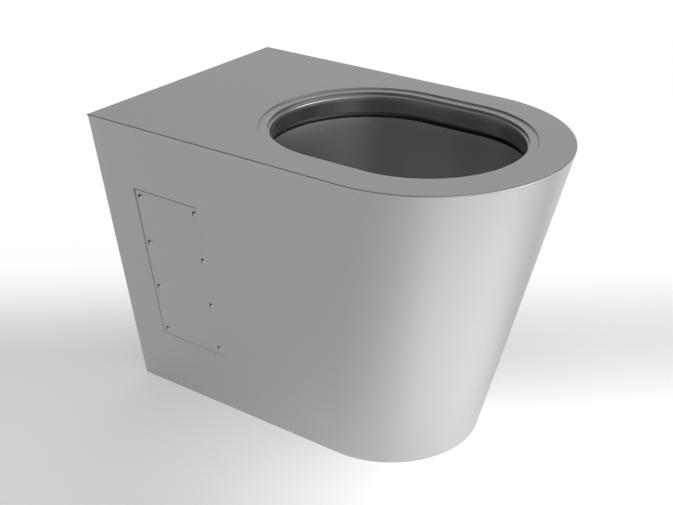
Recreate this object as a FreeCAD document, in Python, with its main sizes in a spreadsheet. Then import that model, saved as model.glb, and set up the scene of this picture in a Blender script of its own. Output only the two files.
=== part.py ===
import FreeCAD, Part
import math
import os
from types import SimpleNamespace

import Sketcher

# A floor-standing stainless steel toilet pan that backs on to a wall.
# Millimetres. +Z is up, the front faces -Y, the wall is the plane y = deck_depth / 2 and the floor is z = 0.
# The origin lies on the floor, in the middle of the pan's width and depth.

DIMENSIONS = {
    # Outer skin: a D-shaped plan at the top, a smaller one at the floor, one flat back.
    "pan_height": 400.0,
    "deck_width": 350.0,
    "deck_depth": 560.0,
    "foot_width": 234.0,
    "foot_depth": 455.0,
    "sheet_gauge": 1.5,
    "back_fold": 25.0,
    "back_head": 30.0,
    # Deck: turned-down edge, then two pressed steps down to the lip of the mouth.
    "deck_turn": 4.0,
    "deck_edge_radius": 1.8,
    "deck_margin": 42.0,
    "mouth_setback": 2.0,
    "mouth_straight": 80.0,
    "step_one_drop": 2.4,
    "step_one_width": 10.3,
    "step_two_drop": 4.0,
    "step_two_width": 3.0,
    "lip_radius": 2.8,
    "lip_turn": 6.0,
    "band_height": 22.1,
    # Bowl: a straight wall and a ledge round the rim channel, then a pressed bowl down to a neck over the trap.
    "bowl_clearance": 1.5,
    "bowl_flange": 12.0,
    "bowl_shoulder": 38.0,
    "bowl_ledge": 10.0,
    "neck_height": 130.0,
    "neck_length": 20.0,
    "neck_straight": 1.0,
    "sump_setback": 38.0,
    # Trap and outlet tube.
    "trap_diameter": 78.0,
    "trap_radius": 50.0,
    "trap_floor_gap": 6.0,
    "elbow_radius": 55.0,
    "elbow_tail": 16.0,
    "reducer_length": 30.0,
    "outlet_diameter": 102.0,
    "outlet_height": 180.0,
    "outlet_recess": 10.0,
    "saddle_gauge": 3.0,
    "saddle_width": 120.0,
    "saddle_foot": 25.0,
    "saddle_inset": 5.0,
    # Flush inlet.
    "inlet_diameter": 55.0,
    "inlet_drop": 68.0,
    "inlet_recess": 12.0,
    "flush_pipe_diameter": 44.0,
    "seal_length": 25.0,
    "seal_collar": 4.0,
    "seal_collar_length": 3.0,
    "seal_squeeze_gap": 0.1,
    "box_width": 90.0,
    "box_depth": 50.0,
    "box_reach": 14.0,
    "box_margin": 3.0,
    "slot_sill": 4.0,
    "slot_height": 26.0,
    "slot_side_gap": 4.0,
    "divider_width": 32.0,
    "divider_depth": 8.0,
    "divider_height": 14.0,
    "divider_gap": 3.0,
    # Access panels, one in each side, with four screws along each long edge.
    "panel_width": 106.0,
    "panel_length": 223.0,
    "panel_centre_height": 198.6,
    "panel_to_wall": 58.0,
    "panel_gap": 0.6,
    "panel_recess": 0.5,
    "panel_gauge": 1.5,
    "frame_land": 12.0,
    "frame_seat": 15.0,
    "frame_gauge": 1.5,
    "screw_side_inset": 7.3,
    "screw_end_inset": 9.2,
    "screw_diameter": 4.0,
    "screw_length": 12.0,
    "screw_head_diameter": 7.6,
    "screw_head_height": 2.2,
    "screw_head_round": 1.7,
    "socket_diameter": 2.8,
    "socket_pin_diameter": 1.0,
    "socket_depth": 1.2,
    "screw_clearance": 0.25,
    "nut_diameter": 8.0,
    "nut_height": 3.5,
    "nut_pilot": 0.7,
    "nut_clearance": 0.1,
    # Feet and floor fixing.
    "base_flange_width": 18.0,
    "seam_gap": 0.5,
    "weld_gap": 0.1,
    "bracket_gauge": 3.0,
    "bracket_rise": 40.0,
    "bracket_length": 130.0,
    "fixing_span": 184.0,
    "fixing_pitch": 80.0,
    "fixing_hole": 10.0,
    "fixing_edge": 15.0,
    # Stiffener under the flat rear of the deck.
    "stiffener_width": 24.0,
    "stiffener_height": 18.0,
    "stiffener_end_gap": 20.0,
    "stiffener_to_wall": 59.5,
    # Earth bonding tag on the right back fold.
    "earth_tag_height": 70.0,
    "earth_tag_width": 20.0,
    "earth_tag_reach": 16.0,
    "earth_tag_overlap": 12.0,
    "earth_tag_gauge": 2.0,
    "earth_hole": 6.5,
}

# The bowl's plan shrinks from the ledge to the neck: at a depth share s the share of the way still to go
# to the neck is (1 - s^2)^0.8, steep at the top and shallow at the bottom.
BOWL_DEPTH_SHARES = (0.0, 0.3, 0.6, 0.8, 0.93, 1.0)
BOWL_FULLNESS = 0.8
SCREW_ROWS = 4
# An edge this close to a plane lies in it.
EDGE_SLACK = 0.01
SIDES = {"left": -1, "right": 1}


class Size:
    """A length known both as a number and as the sheet expression that it comes from."""

    def __init__(self, value, text):
        self.value = value
        self.text = text

    def __add__(self, other):
        other = as_size(other)
        return Size(self.value + other.value, f"({self.text} + {other.text})")

    def __sub__(self, other):
        other = as_size(other)
        return Size(self.value - other.value, f"({self.text} - {other.text})")

    def __mul__(self, other):
        other = as_size(other)
        return Size(self.value * other.value, f"({self.text} * {other.text})")

    def __truediv__(self, other):
        other = as_size(other)
        return Size(self.value / other.value, f"({self.text} / {other.text})")

    def __neg__(self):
        return Size(-self.value, f"(0 - {self.text})")


def as_size(item):
    """Give a plain number the form of a size."""
    return item if isinstance(item, Size) else Size(float(item), f"({float(item)})")


doc = FreeCAD.newDocument("toilet_pan")
sheet = doc.addObject("Spreadsheet::Sheet", "Sizes")
for row, (alias, number) in enumerate(DIMENSIONS.items(), start=1):
    sheet.set(f"A{row}", alias.replace("_", " "))
    sheet.set(f"B{row}", str(number))
    sheet.setAlias(f"B{row}", alias)
doc.recompute()
d = SimpleNamespace(**{alias: Size(number, f"Sizes.{alias}") for alias, number in DIMENSIONS.items()})

# Places that several pieces share.
wall_y = d.deck_depth / 2
deck_half = d.deck_width / 2
foot_half = d.foot_width / 2
deck_centre_y = deck_half - wall_y
foot_centre_y = wall_y - d.foot_depth + foot_half
shroud_top = d.pan_height - d.deck_turn
side_slope = (deck_half - foot_half) / shroud_top
deck_underside = d.pan_height - d.sheet_gauge

mouth_radius = deck_half - d.deck_margin
mouth_front_y = deck_centre_y + d.mouth_setback
mouth_rear_y = mouth_front_y + d.mouth_straight
ledge_one = d.pan_height - d.step_one_drop
ledge_two = ledge_one - d.step_two_drop
ledge_two_radius = mouth_radius - d.step_one_width
lip_inner_radius = ledge_two_radius - d.step_two_width
lip_end = ledge_two - d.lip_turn
band_foot = ledge_two - d.band_height

bowl_radius = mouth_radius + d.sheet_gauge + d.bowl_clearance
bowl_outer_radius = bowl_radius + d.sheet_gauge
well_radius = bowl_radius - d.bowl_ledge
bowl_shoulder_z = d.pan_height - d.bowl_shoulder
bowl_rear_y = mouth_rear_y + bowl_outer_radius
flange_underside = deck_underside - d.sheet_gauge
sump_y = mouth_rear_y + d.sump_setback
neck_foot = d.neck_height - d.neck_length
trap_outer = d.trap_diameter / 2
trap_bore = trap_outer - d.sheet_gauge
trap_centre_z = d.trap_floor_gap + trap_outer + d.trap_radius
riser_y = sump_y + d.trap_radius * 2
elbow_z = d.outlet_height - d.elbow_radius
elbow_end_y = riser_y + d.elbow_radius + d.elbow_tail
reducer_end_y = elbow_end_y + d.reducer_length
spigot_end_y = wall_y - d.outlet_recess
outlet_outer = d.outlet_diameter / 2
outlet_bore = outlet_outer - d.sheet_gauge

inlet_z = d.pan_height - d.inlet_drop
inlet_outer = d.inlet_diameter / 2
inlet_bore = inlet_outer - d.sheet_gauge
box_half = d.box_width / 2
box_front_y = bowl_rear_y + d.weld_gap
box_rear_y = box_front_y + d.box_depth
box_foot = inlet_z - inlet_outer - d.box_margin
inlet_end_y = wall_y - d.inlet_recess

panel_y = wall_y - d.panel_to_wall - d.panel_width / 2
panel_back_depth = d.panel_recess + d.panel_gauge
seat_back_depth = panel_back_depth + d.frame_gauge
opening_width = d.panel_width + d.panel_gap * 2
opening_length = d.panel_length + d.panel_gap * 2
bracket_front_y = panel_y - d.bracket_length / 2
bracket_rear_y = panel_y + d.bracket_length / 2


def side_at(z):
    """Half the shroud's outer width at height z."""
    return foot_half + side_slope * z


def bind(thing, path, item):
    """Tie one property to the sheet."""
    thing.setExpression(path, as_size(item).text)


def new_body(name):
    """Start a piece."""
    body = doc.addObject("PartDesign::Body", name)
    body.Label = name
    return body


def sketch_on(body, role, name, offset=0):
    """Start a sketch on one of the body's own planes, moved along the plane's normal."""
    sketch = body.newObject("Sketcher::SketchObject", f"{body.Name}_{name}")
    plane = next(feature for feature in body.Origin.OriginFeatures if feature.Role == role)
    sketch.AttachmentSupport = [(plane, "")]
    sketch.MapMode = "FlatFace"
    bind(sketch, "AttachmentOffset.Base.z", offset)
    return sketch


def level(body, name, z):
    """A flat sketch at height z, drawn in x and y."""
    return sketch_on(body, "XY_Plane", name, z)


def upright(body, name, y):
    """A sketch across the pan at depth y, drawn in x and z, whose normal points to the front."""
    return sketch_on(body, "XZ_Plane", name, -as_size(y))


def profile(body, name, x=0):
    """A sketch along the pan at side offset x, drawn in y and z, whose normal points to +X."""
    return sketch_on(body, "YZ_Plane", name, x)


def dimension(sketch, kind, *where, to):
    """Add one driving constraint and tie it to the sheet."""
    to = as_size(to)
    index = sketch.addConstraint(Sketcher.Constraint(kind, *where, to.value))
    sketch.setExpression(f"Constraints[{index}]", to.text)


def locate(sketch, geometry, point, u, v):
    """Hold one point of a sketch at (u, v); a plain 0 holds it on the axis."""
    for kind, axis, place in (("DistanceX", -2, u), ("DistanceY", -1, v)):
        if not isinstance(place, Size) and place == 0:
            sketch.addConstraint(Sketcher.Constraint("PointOnObject", geometry, point, axis))
        else:
            dimension(sketch, kind, -1, 1, geometry, point, to=place)


def vector(u, v):
    """A sketch point from two sizes."""
    return FreeCAD.Vector(as_size(u).value, as_size(v).value, 0)


def circle(sketch, u, v, radius):
    """Draw a circle."""
    shape = Part.Circle(vector(u, v), FreeCAD.Vector(0, 0, 1), radius.value)
    index = sketch.addGeometry(shape)
    locate(sketch, index, 3, u, v)
    dimension(sketch, "Radius", index, to=radius)


def polygon(sketch, corners):
    """Draw a closed outline of straight lines through the corners."""
    count = len(corners)
    first = sketch.GeometryCount
    for index, corner in enumerate(corners):
        ahead = corners[(index + 1) % count]
        sketch.addGeometry(Part.LineSegment(vector(*corner), vector(*ahead)))
    for index, corner in enumerate(corners):
        following = first + (index + 1) % count
        sketch.addConstraint(Sketcher.Constraint("Coincident", first + index, 2, following, 1))
        locate(sketch, first + index, 1, *corner)


def rectangle(sketch, u_low, u_high, v_low, v_high):
    """Draw an upright rectangle."""
    polygon(sketch, [(u_low, v_low), (u_high, v_low), (u_high, v_high), (u_low, v_high)])


def d_outline(sketch, half_width, centre_y, back_y):
    """Draw a D: a half circle at the front, straight sides and a straight back."""
    left = -half_width
    sketch.addGeometry(Part.LineSegment(vector(half_width, back_y), vector(left, back_y)))
    sketch.addGeometry(Part.LineSegment(vector(left, back_y), vector(left, centre_y)))
    round_front = Part.Circle(vector(0, centre_y), FreeCAD.Vector(0, 0, 1), half_width.value)
    sketch.addGeometry(Part.ArcOfCircle(round_front, math.pi, 2 * math.pi))
    sketch.addGeometry(Part.LineSegment(vector(half_width, centre_y), vector(half_width, back_y)))
    sketch.addConstraint(Sketcher.Constraint("Coincident", 0, 2, 1, 1))
    sketch.addConstraint(Sketcher.Constraint("Coincident", 3, 2, 0, 1))
    sketch.addConstraint(Sketcher.Constraint("Tangent", 1, 2, 2, 1))
    sketch.addConstraint(Sketcher.Constraint("Tangent", 2, 2, 3, 1))
    sketch.addConstraint(Sketcher.Constraint("Horizontal", 0))
    sketch.addConstraint(Sketcher.Constraint("Vertical", 1))
    sketch.addConstraint(Sketcher.Constraint("Vertical", 3))
    sketch.addConstraint(Sketcher.Constraint("PointOnObject", 2, 3, -2))
    dimension(sketch, "DistanceY", -1, 1, 2, 3, to=centre_y)
    dimension(sketch, "DistanceY", -1, 1, 0, 1, to=back_y)
    dimension(sketch, "Radius", 2, to=half_width)


def oval(sketch, radius, front_y, rear_y):
    """Draw a straight-sided oval: two half circles of one radius, joined by straight sides."""
    up = FreeCAD.Vector(0, 0, 1)
    front = Part.Circle(vector(0, front_y), up, radius.value)
    rear = Part.Circle(vector(0, rear_y), up, radius.value)
    front_arc = sketch.addGeometry(Part.ArcOfCircle(front, math.pi, 2 * math.pi))
    right = sketch.addGeometry(Part.LineSegment(vector(radius, front_y), vector(radius, rear_y)))
    rear_arc = sketch.addGeometry(Part.ArcOfCircle(rear, 0, math.pi))
    left = sketch.addGeometry(Part.LineSegment(vector(-radius, rear_y), vector(-radius, front_y)))
    ring = (front_arc, right, rear_arc, left)
    for here, ahead in zip(ring, ring[1:] + ring[:1]):
        sketch.addConstraint(Sketcher.Constraint("Tangent", here, 2, ahead, 1))
    sketch.addConstraint(Sketcher.Constraint("Vertical", right))
    sketch.addConstraint(Sketcher.Constraint("PointOnObject", front_arc, 3, -2))
    sketch.addConstraint(Sketcher.Constraint("PointOnObject", rear_arc, 3, -2))
    dimension(sketch, "DistanceY", -1, 1, front_arc, 3, to=front_y)
    dimension(sketch, "DistanceY", -1, 1, rear_arc, 3, to=rear_y)
    dimension(sketch, "Radius", front_arc, to=radius)


def mouth_oval(sketch, radius):
    """Draw an oval that runs parallel to the mouth."""
    oval(sketch, radius, mouth_front_y, mouth_rear_y)


def pad(body, sketch, length, backwards=False):
    """Raise a sketch along its normal, or against it."""
    feature = body.newObject("PartDesign::Pad", f"{sketch.Name}_pad")
    feature.Profile = sketch
    bind(feature, "Length", length)
    feature.Reversed = backwards
    doc.recompute()
    return feature


def pocket(body, sketch, length=None, along_normal=False):
    """Cut a sketch into the piece, against its normal unless told otherwise, to a depth or right through."""
    before = body.Shape.Volume
    feature = body.newObject("PartDesign::Pocket", f"{sketch.Name}_pocket")
    feature.Profile = sketch
    feature.Reversed = along_normal
    if length is None:
        feature.Type = "ThroughAll"
    else:
        bind(feature, "Length", length)
    doc.recompute()
    if not feature.Shape.Volume < before:
        raise RuntimeError(f"{feature.Name} cuts nothing")
    return feature


def round_edges(body, radius, wanted):
    """Round the edges of the piece for which wanted(edge) holds."""
    base = body.Tip
    names = [f"Edge{index}" for index, edge in enumerate(base.Shape.Edges, start=1) if wanted(edge)]
    if not names:
        raise RuntimeError(f"{body.Name} has no such edge to round")
    feature = body.newObject("PartDesign::Fillet", f"{base.Name}_round")
    feature.Base = (base, names)
    bind(feature, "Radius", radius)
    doc.recompute()
    return feature


def flat_at(z, half_width=None):
    """A test for edges that lie in the plane z and, if a half width is given, within it."""

    def holds(edge):
        box = edge.BoundBox
        in_plane = abs(box.ZMin - z.value) < EDGE_SLACK and abs(box.ZMax - z.value) < EDGE_SLACK
        reach = max(-box.XMin, box.XMax)
        return in_plane and (half_width is None or reach < half_width.value + EDGE_SLACK)

    return holds


def loft(body, kind, sketches, ruled):
    """Stretch a skin over a row of sketches, adding to the piece or cutting it."""
    feature = body.newObject(f"PartDesign::{kind}Loft", f"{sketches[0].Name}_loft")
    feature.Profile = sketches[0]
    feature.Sections = sketches[1:]
    feature.Ruled = ruled
    doc.recompute()
    return feature


def cut(name, base, tools):
    """Take the tools away from a piece, one after the other."""
    for index, tool in enumerate(tools, start=1):
        result = doc.addObject("Part::Cut", f"{name}_cut_{index}")
        result.Base = base
        result.Tool = tool
        base = result
    base.Label = name
    doc.recompute()
    return base


def lay_on_side(body, side):
    """Place a piece drawn about the panel's centre on the sloping side, its local x square to that side."""
    body.Placement = FreeCAD.Placement(
        FreeCAD.Vector(0, 0, 0), FreeCAD.Rotation(FreeCAD.Vector(0, 1, 0), side)
    )
    bind(body, "Placement.Base.x", side_at(d.panel_centre_height) * side)
    bind(body, "Placement.Base.y", panel_y)
    bind(body, "Placement.Base.z", d.panel_centre_height)
    body.setExpression("Placement.Rotation.Angle", f"{side} * atan({side_slope.text})")


def side_layer(body, side, name, depth):
    """A sketch parallel to the sloping side, a given depth below its face."""
    return profile(body, name, depth * -side)


def side_rectangle(sketch, width, length):
    """Draw a rectangle about the panel's centre."""
    rectangle(sketch, -width / 2, width / 2, -length / 2, length / 2)


def screw_circles(sketch, *radii):
    """Draw circles of the given radii round every screw's axis."""
    column = d.panel_width / 2 - d.screw_side_inset
    row_pitch = (d.panel_length - d.screw_end_inset * 2) / (SCREW_ROWS - 1)
    for side in SIDES.values():
        for row in range(SCREW_ROWS):
            for radius in radii:
                circle(sketch, column * side, row_pitch * (row - (SCREW_ROWS - 1) / 2), radius)


def make_shroud():
    """The outer skin: a tapered D-shaped sleeve of sheet, folded in at the back, with two panel cut-outs."""
    body = new_body("shroud_sleeve")
    outer_foot = level(body, "outer_foot", 0)
    trim_y = wall_y + d.sheet_gauge
    d_outline(outer_foot, foot_half, foot_centre_y, trim_y)
    outer_top = level(body, "outer_top", shroud_top)
    d_outline(outer_top, deck_half, deck_centre_y, trim_y)
    loft(body, "Additive", [outer_foot, outer_top], ruled=True)
    back_trim = level(body, "back_trim", shroud_top)
    rectangle(back_trim, -deck_half, deck_half, wall_y, trim_y)
    pocket(body, back_trim, shroud_top)

    inner_back_y = wall_y - d.sheet_gauge
    inner_foot = level(body, "inner_foot", 0)
    d_outline(inner_foot, foot_half - d.sheet_gauge, foot_centre_y, inner_back_y)
    inner_top = level(body, "inner_top", shroud_top)
    d_outline(inner_top, deck_half - d.sheet_gauge, deck_centre_y, inner_back_y)
    loft(body, "Subtractive", [inner_foot, inner_top], ruled=True)

    window_head = shroud_top - d.back_head
    window_inset = d.sheet_gauge + d.back_fold
    head_half = side_at(window_head) - window_inset
    foot_window_half = foot_half - window_inset
    window = upright(body, "back_window", inner_back_y)
    polygon(
        window,
        [
            (-foot_window_half, 0),
            (foot_window_half, 0),
            (head_half, window_head),
            (-head_half, window_head),
        ],
    )
    pocket(body, window, d.sheet_gauge)

    cutters = []
    for name, side in SIDES.items():
        cutter = new_body(f"panel_opening_{name}")
        face = side_layer(cutter, side, "outline", -panel_back_depth)
        side_rectangle(face, opening_width, opening_length)
        pad(cutter, face, panel_back_depth * 2, backwards=side > 0)
        lay_on_side(cutter, side)
        cutters.append(cutter)
    doc.recompute()
    return cut("shroud", body, cutters)


def make_deck():
    """The top plate: turned-down edge, two pressed steps and a rolled lip round the mouth."""
    body = new_body("deck")
    plate = level(body, "plate", shroud_top)
    d_outline(plate, deck_half, deck_centre_y, wall_y)
    pad(body, plate, d.deck_turn)
    hollow = level(body, "hollow", shroud_top)
    d_outline(hollow, deck_half - d.sheet_gauge, deck_centre_y, wall_y - d.sheet_gauge)
    pocket(body, hollow, d.deck_turn - d.sheet_gauge, along_normal=True)
    round_edges(body, d.deck_edge_radius, flat_at(d.pan_height))

    step_one_outside = level(body, "step_one_outside", ledge_one - d.sheet_gauge)
    mouth_oval(step_one_outside, mouth_radius + d.sheet_gauge)
    pad(body, step_one_outside, d.step_one_drop)
    step_one_inside = level(body, "step_one_inside", d.pan_height)
    mouth_oval(step_one_inside, mouth_radius)
    pocket(body, step_one_inside, d.step_one_drop)

    lip_outer_radius = lip_inner_radius + d.sheet_gauge
    ledge_two_underside = ledge_two - d.sheet_gauge
    step_two_outside = level(body, "step_two_outside", lip_end)
    mouth_oval(step_two_outside, ledge_two_radius + d.sheet_gauge)
    pad(body, step_two_outside, ledge_one - d.sheet_gauge - lip_end)
    step_two_inside = level(body, "step_two_inside", ledge_one)
    mouth_oval(step_two_inside, ledge_two_radius)
    pocket(body, step_two_inside, d.step_two_drop)
    opening = level(body, "opening", ledge_two)
    mouth_oval(opening, lip_inner_radius)
    pocket(body, opening)
    round_edges(body, d.lip_radius, flat_at(ledge_two, lip_inner_radius))

    lip_outside = level(body, "lip_outside", lip_end)
    mouth_oval(lip_outside, mouth_radius)
    mouth_oval(lip_outside, lip_outer_radius)
    pocket(body, lip_outside, ledge_two_underside - lip_end, along_normal=True)
    round_edges(body, d.lip_radius - d.sheet_gauge, flat_at(ledge_two_underside, lip_outer_radius))
    return body


def make_flush_rim_band():
    """The hoop welded below the lip; water leaves the rim channel through the gap under it."""
    body = new_body("flush_rim_band")
    ring = level(body, "ring", band_foot)
    mouth_oval(ring, lip_inner_radius + d.sheet_gauge)
    mouth_oval(ring, lip_inner_radius)
    pad(body, ring, lip_end - band_foot)
    return body


def bowl_sections(body, name, spread, drop):
    """Ovals from the ledge down to the neck, spread sideways and dropped near the neck to give the wall."""
    sections = []
    for index, depth_share in enumerate(BOWL_DEPTH_SHARES):
        share = (1 - depth_share**2) ** BOWL_FULLNESS
        z = bowl_shoulder_z + (d.neck_height - bowl_shoulder_z) * depth_share - drop * (1 - share)
        radius = trap_bore + (well_radius - trap_bore) * share + spread
        front_y = sump_y - d.neck_straight / 2
        rear_y = sump_y + d.neck_straight / 2
        sketch = level(body, f"{name}_{index}", z)
        oval(
            sketch,
            radius,
            front_y + (mouth_front_y - front_y) * share,
            rear_y + (mouth_rear_y - rear_y) * share,
        )
        sections.append(sketch)
    return sections


def make_bowl():
    """The bowl: a flange under the deck, a wall and ledge round the rim, a pressed bowl and a short neck."""
    body = new_body("bowl")
    nothing = as_size(0)
    loft(body, "Additive", bowl_sections(body, "outer", d.sheet_gauge, d.sheet_gauge), ruled=False)
    ledge_underside = bowl_shoulder_z - d.sheet_gauge
    wall = level(body, "wall", ledge_underside)
    mouth_oval(wall, bowl_outer_radius)
    pad(body, wall, deck_underside - ledge_underside)
    flange = level(body, "flange", flange_underside)
    mouth_oval(flange, bowl_outer_radius + d.bowl_flange)
    pad(body, flange, d.sheet_gauge)
    neck = level(body, "neck", neck_foot)
    oval(neck, trap_outer, sump_y - d.neck_straight / 2, sump_y + d.neck_straight / 2)
    pad(body, neck, d.neck_length - d.sheet_gauge)

    loft(body, "Subtractive", bowl_sections(body, "inner", nothing, nothing), ruled=False)
    channel = level(body, "channel", deck_underside)
    mouth_oval(channel, bowl_radius)
    pocket(body, channel, deck_underside - bowl_shoulder_z)
    neck_hole = level(body, "neck_hole", d.neck_height)
    oval(neck_hole, trap_bore, sump_y - d.neck_straight / 2, sump_y + d.neck_straight / 2)
    pocket(body, neck_hole)

    slot_foot = bowl_shoulder_z + d.slot_sill
    slot_half = box_half - d.sheet_gauge - d.slot_side_gap
    slot = upright(body, "flush_slot", mouth_rear_y)
    rectangle(slot, -slot_half, slot_half, slot_foot, slot_foot + d.slot_height)
    pocket(body, slot, bowl_outer_radius)
    return body


def make_flush_box():
    """The box behind the bowl that lifts the flush water from the inlet into the rim channel."""
    body = new_body("flush_box")
    reach_y = box_front_y - d.box_reach
    wall = d.sheet_gauge
    outside = profile(body, "outside", -box_half)
    polygon(
        outside,
        [
            (box_front_y, box_foot),
            (box_rear_y, box_foot),
            (box_rear_y, flange_underside),
            (reach_y, flange_underside),
            (reach_y, bowl_shoulder_z),
            (box_front_y, bowl_shoulder_z),
        ],
    )
    pad(body, outside, d.box_width)
    inside = profile(body, "inside", box_half - wall)
    polygon(
        inside,
        [
            (box_front_y + wall, box_foot + wall),
            (box_rear_y - wall, box_foot + wall),
            (box_rear_y - wall, flange_underside - wall),
            (reach_y - wall, flange_underside - wall),
            (reach_y - wall, bowl_shoulder_z + wall),
            (box_front_y + wall, bowl_shoulder_z + wall),
        ],
    )
    pocket(body, inside, d.box_width - wall * 2)
    round_wall = level(body, "bowl_wall", flange_underside)
    mouth_oval(round_wall, bowl_outer_radius + d.weld_gap)
    pocket(body, round_wall)
    inlet = upright(body, "inlet_hole", box_rear_y - wall)
    circle(inlet, 0, inlet_z, inlet_bore)
    pocket(body, inlet, wall)
    return body


def make_flow_divider():
    """The bent plate in the rim channel, apex to the inlet, that sends the water both ways round."""
    body = new_body("flow_divider")
    half = d.divider_width / 2
    apex_y = mouth_rear_y + bowl_radius - d.divider_gap
    ends_y = apex_y - d.divider_depth
    plate = level(body, "plan", ledge_one - d.sheet_gauge - d.divider_height)
    polygon(
        plate,
        [
            (-half, ends_y),
            (-half, ends_y - d.sheet_gauge),
            (0, apex_y - d.sheet_gauge),
            (half, ends_y - d.sheet_gauge),
            (half, ends_y),
            (0, apex_y),
        ],
    )
    pad(body, plate, d.divider_height)
    return body


def make_tube(name, axis_z, outer, bore, front_y, rear_y):
    """A straight horizontal tube from front_y back to rear_y."""
    body = new_body(name)
    ring = upright(body, "ring", rear_y)
    circle(ring, 0, axis_z, outer)
    circle(ring, 0, axis_z, bore)
    pad(body, ring, rear_y - front_y)
    return body


def make_inlet_seal():
    """The rubber cuff pushed into the inlet stub, with a collar against the stub's end."""
    body = new_body("inlet_seal")
    bore = d.flush_pipe_diameter / 2
    collar = upright(body, "collar", inlet_end_y + d.seal_collar_length)
    circle(collar, 0, inlet_z, inlet_bore + d.seal_collar)
    circle(collar, 0, inlet_z, bore)
    pad(body, collar, d.seal_collar_length)
    sleeve = upright(body, "sleeve", inlet_end_y)
    circle(sleeve, 0, inlet_z, inlet_bore - d.seal_squeeze_gap)
    circle(sleeve, 0, inlet_z, bore)
    pad(body, sleeve, d.seal_length)
    return body


def sweep_ring(body, ring, path):
    """Carry a ring along a path of straight runs and tangent arcs."""
    feature = body.newObject("PartDesign::AdditivePipe", f"{path.Name}_tube")
    feature.Profile = ring
    feature.Spine = (path, [f"Edge{index}" for index in range(1, path.GeometryCount + 1)])
    doc.recompute()
    return feature


def make_trap_bend():
    """The inlet leg and half-turn bend under the bowl."""
    body = new_body("trap_bend")
    ring = level(body, "ring", neck_foot)
    circle(ring, 0, sump_y, trap_outer)
    circle(ring, 0, sump_y, trap_bore)
    path = profile(body, "path")
    path.addGeometry(Part.LineSegment(vector(sump_y, neck_foot), vector(sump_y, trap_centre_z)))
    turn = Part.Circle(
        vector(sump_y + d.trap_radius, trap_centre_z), FreeCAD.Vector(0, 0, 1), d.trap_radius.value
    )
    path.addGeometry(Part.ArcOfCircle(turn, math.pi, 2 * math.pi))
    locate(path, 0, 1, sump_y, neck_foot)
    path.addConstraint(Sketcher.Constraint("Vertical", 0))
    path.addConstraint(Sketcher.Constraint("Tangent", 0, 2, 1, 1))
    dimension(path, "DistanceY", -1, 1, 0, 2, to=trap_centre_z)
    dimension(path, "Radius", 1, to=d.trap_radius)
    dimension(path, "DistanceY", -1, 1, 1, 2, to=trap_centre_z)
    sweep_ring(body, ring, path)
    return body


def make_trap_elbow():
    """The riser, the quarter bend and a short tail towards the outlet."""
    body = new_body("trap_elbow")
    ring = level(body, "ring", trap_centre_z)
    circle(ring, 0, riser_y, trap_outer)
    circle(ring, 0, riser_y, trap_bore)
    tail_y = riser_y + d.elbow_radius
    path = profile(body, "path")
    path.addGeometry(Part.LineSegment(vector(riser_y, trap_centre_z), vector(riser_y, elbow_z)))
    turn = Part.Circle(vector(tail_y, elbow_z), FreeCAD.Vector(0, 0, 1), d.elbow_radius.value)
    path.addGeometry(Part.ArcOfCircle(turn, math.pi / 2, math.pi))
    path.addGeometry(Part.LineSegment(vector(tail_y, d.outlet_height), vector(elbow_end_y, d.outlet_height)))
    locate(path, 0, 1, riser_y, trap_centre_z)
    path.addConstraint(Sketcher.Constraint("Vertical", 0))
    path.addConstraint(Sketcher.Constraint("Horizontal", 2))
    path.addConstraint(Sketcher.Constraint("Tangent", 0, 2, 1, 2))
    path.addConstraint(Sketcher.Constraint("Tangent", 1, 1, 2, 1))
    dimension(path, "Radius", 1, to=d.elbow_radius)
    locate(path, 2, 2, elbow_end_y, d.outlet_height)
    sweep_ring(body, ring, path)
    return body


def make_outlet_reducer():
    """The cone that opens the trap's bore to the outlet's."""
    body = new_body("outlet_reducer")
    half = profile(body, "half_section")
    bind(half, "AttachmentOffset.Base.y", d.outlet_height)
    polygon(
        half,
        [
            (elbow_end_y, trap_bore),
            (reducer_end_y, outlet_bore),
            (reducer_end_y, outlet_outer),
            (elbow_end_y, trap_outer),
        ],
    )
    turn = body.newObject("PartDesign::Revolution", "outlet_reducer_turn")
    turn.Profile = half
    turn.ReferenceAxis = (half, ["H_Axis"])
    turn.Angle = 360
    doc.recompute()
    return body


def make_outlet_saddle():
    """The plate that stands on the floor and cradles the tail of the elbow, clear of the spigot."""
    body = new_body("outlet_saddle")
    half = d.saddle_width / 2
    rear_y = elbow_end_y - d.saddle_inset
    plate = upright(body, "plate", rear_y)
    rectangle(plate, -half, half, 0, d.outlet_height)
    pad(body, plate, d.saddle_gauge)
    foot = upright(body, "foot", rear_y)
    rectangle(foot, -half, half, 0, d.saddle_gauge)
    pad(body, foot, d.saddle_foot)
    cradle = upright(body, "cradle", rear_y - d.saddle_gauge)
    circle(cradle, 0, d.outlet_height, trap_outer + d.weld_gap)
    pocket(body, cradle, d.saddle_gauge)
    return body


def make_base_flange():
    """The flat ring inside the shroud's foot, open at the back."""
    body = new_body("base_flange")
    outer_half = foot_half - d.sheet_gauge
    end_y = bracket_front_y - d.seam_gap
    ring = level(body, "ring", 0)
    d_outline(ring, outer_half, foot_centre_y, end_y)
    pad(body, ring, d.sheet_gauge)
    inside = level(body, "inside", d.sheet_gauge)
    d_outline(inside, outer_half - d.base_flange_width, foot_centre_y, end_y + d.base_flange_width)
    pocket(body, inside)
    return body


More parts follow.
